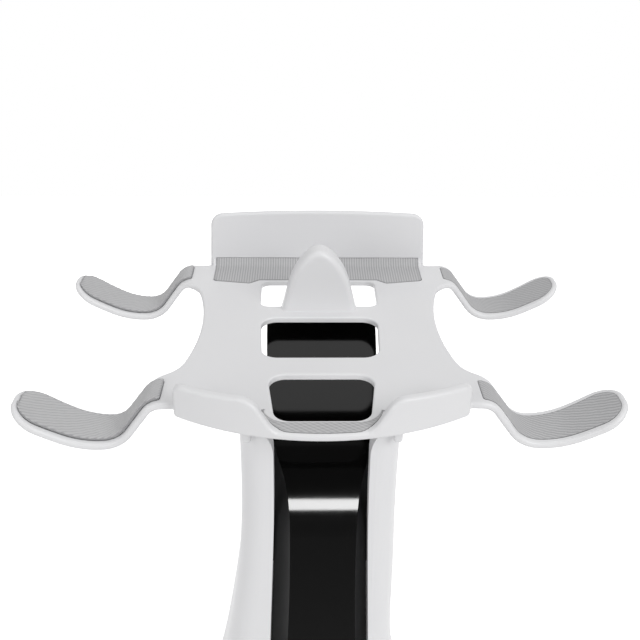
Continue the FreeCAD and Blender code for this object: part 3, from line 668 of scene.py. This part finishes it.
@dataclass
class Foot:
    """The white foot with its cover, screws and rubber feet."""

    shell: MouldedPlastic = WHITE_ABS
    cover: MouldedPlastic = BLACK_ABS
    rubber: SiliconeRubber = FOOT_RUBBER

    def build(self) -> None:
        """Dresses the foot's pieces."""
        dress("base_shell", self.shell.make())
        dress("base_cover", self.cover.make())
        dress("cover_screws", ZINC_STEEL.make())
        rubber = self.rubber.make()
        for end in ("front", "rear"):
            for hand in ("left", "right"):
                dress("foot_%s_%s" % (end, hand), rubber)


@dataclass
class Studio:
    """Pale floor, soft lamps and the camera at the photograph's angle."""

    focal_px: float = 799.0
    frame_px: int = 640
    sensor_mm: float = 36.0
    place_mm: Point = (-7.4, -276.2, 420.1)
    pitch_deg: float = 30.0
    turn_deg: float = -1.22
    floor_size: float = 1.6
    ambient: float = 0.40

    def build(self) -> None:
        """Makes the world, the floor, the lamps and the camera."""
        self.world()
        self.floor()
        self.lamps()
        self.camera()
        bpy.context.scene.view_settings.view_transform = "Standard"

    def seen(self, tree: bpy.types.NodeTree) -> bpy.types.NodeSocket:
        """Adds the switch for rays that reach the eye.

        Args:
            tree: Node tree that gets the switch.

        Returns:
            Socket that is one for camera, glossy and transmission rays, and nought for others.
        """
        path = add_node(tree, "ShaderNodeLightPath")
        first = add_node(tree, "ShaderNodeMath", {"operation": "MAXIMUM"},
                         {"Value": path.outputs["Is Camera Ray"]})
        tree.links.new(path.outputs["Is Glossy Ray"], first.inputs[1])
        both = add_node(tree, "ShaderNodeMath", {"operation": "MAXIMUM"}, {"Value": first.outputs[0]})
        tree.links.new(path.outputs["Is Transmission Ray"], both.inputs[1])
        return both.outputs[0]

    def world(self) -> None:
        """White to the eye, a dimmer even sky to the diffuse light."""
        world = bpy.data.worlds.new("studio")
        bpy.context.scene.world = world
        world.use_nodes = True
        tree = world.node_tree
        tree.nodes.clear()
        strength = add_node(tree, "ShaderNodeMapRange", {"To Min": self.ambient, "To Max": 1.0},
                            {"Value": self.seen(tree)})
        sky = add_node(tree, "ShaderNodeBackground", {"Color": WHITE},
                       {"Strength": strength.outputs[0]})
        add_node(tree, "ShaderNodeOutputWorld", {}, {"Surface": sky.outputs[0]})

    def floor(self) -> None:
        """A plain pale floor under the stand, white to the eye away from the shadow."""
        deselect()
        bpy.ops.mesh.primitive_plane_add(size=self.floor_size, location=(0, 0, 0))
        floor = bpy.context.object
        floor.name = "studio_floor"
        material, tree = new_material("pale_floor")
        matt = add_node(tree, "ShaderNodeBsdfDiffuse", {"Color": linear("F2F2F2")})
        place = add_node(tree, "ShaderNodeTexCoord")
        away = add_node(tree, "ShaderNodeVectorMath", {"operation": "LENGTH"},
                        {"Vector": place.outputs["Object"]})
        share = add_node(tree, "ShaderNodeMapRange",
                         {"From Min": 0.12, "From Max": 0.6, "To Min": 0.72, "To Max": 1.0},
                         {"Value": away.outputs["Value"]})
        seen = add_node(tree, "ShaderNodeMath", {"operation": "MULTIPLY"}, {"Value": self.seen(tree)})
        tree.links.new(share.outputs[0], seen.inputs[1])
        glow = add_node(tree, "ShaderNodeEmission", {"Color": WHITE},
                        {"Strength": seen.outputs[0]})
        both = add_node(tree, "ShaderNodeAddShader")
        tree.links.new(matt.outputs[0], both.inputs[0])
        tree.links.new(glow.outputs[0], both.inputs[1])
        close_material(tree, both)
        floor.data.materials.append(material)

    def lamp(self, name: str, place: Point, aim: Point, size: tuple[float, float],
             watts: float, only: Optional[str] = None) -> None:
        """Adds one softbox.

        Args:
            name: Name of the lamp.
            place: Where it stands.
            aim: Point that it looks at.
            size: Width and height.
            watts: Its power.
            only: CAD node that alone reflects it, without diffuse light; None for all.
        """
        data = bpy.data.lights.new(name, "AREA")
        data.shape = "RECTANGLE"
        data.size, data.size_y = size
        data.energy = watts
        lamp = bpy.data.objects.new(name, data)
        bpy.context.scene.collection.objects.link(lamp)
        lamp.location = place
        lamp.rotation_euler = (Vector(aim) - Vector(place)).to_track_quat("-Z", "Y").to_euler()
        if only:
            lamp.visible_diffuse = False
            mirror = bpy.data.collections.new(name + "_mirror")
            mirror.objects.link(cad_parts[only])
            lamp.light_linking.receiver_collection = mirror

    def lamps(self) -> None:
        """Key from the right and fill from the left, both in front, a lamp above, and the two
        softboxes that show in the glossy front alone.
        """
        middle = (0.0, 0.0, 0.22)
        self.lamp("key_softbox", (1.50, -1.55, 1.80), middle, (1.4, 1.4), 27.0)
        self.lamp("fill_softbox", (-1.30, -1.60, 1.10), middle, (1.5, 1.5), 9.5)
        self.lamp("top_softbox", (0.0, 0.50, 2.40), middle, (1.6, 1.6), 8.0)
        self.lamp("strip_softbox", (0.10, -1.00, 0.27), middle, (0.42, 0.26), 88.0, only="column_panel")
        self.lamp("head_softbox", (0.0, 0.30, 1.50), middle, (0.9, 0.6), 16.0, only="column_panel")

    def camera(self) -> None:
        """The photograph's view: from the front, above the tray."""
        data = bpy.data.cameras.new("photo_camera")
        data.sensor_width = self.sensor_mm
        data.lens = self.focal_px / self.frame_px * self.sensor_mm
        data.clip_start = 0.01
        camera = bpy.data.objects.new("photo_camera", data)
        bpy.context.scene.collection.objects.link(camera)
        camera.location = [value * MM for value in self.place_mm]
        tilt = Matrix.Rotation(math.radians(90 - self.pitch_deg), 3, "X")
        turn = Matrix.Rotation(math.radians(self.turn_deg), 3, "Y")
        camera.rotation_euler = (tilt @ turn).to_euler()
        bpy.context.scene.camera = camera


def main() -> None:
    """Builds the stand's looks and the studio."""
    logging.basicConfig(level=logging.INFO, format="%(message)s")
    Studio().build()
    for assembly in (TrayTop(), Column(), Foot()):
        assembly.build()
    deselect()


if __name__ == "__main__":
    main()
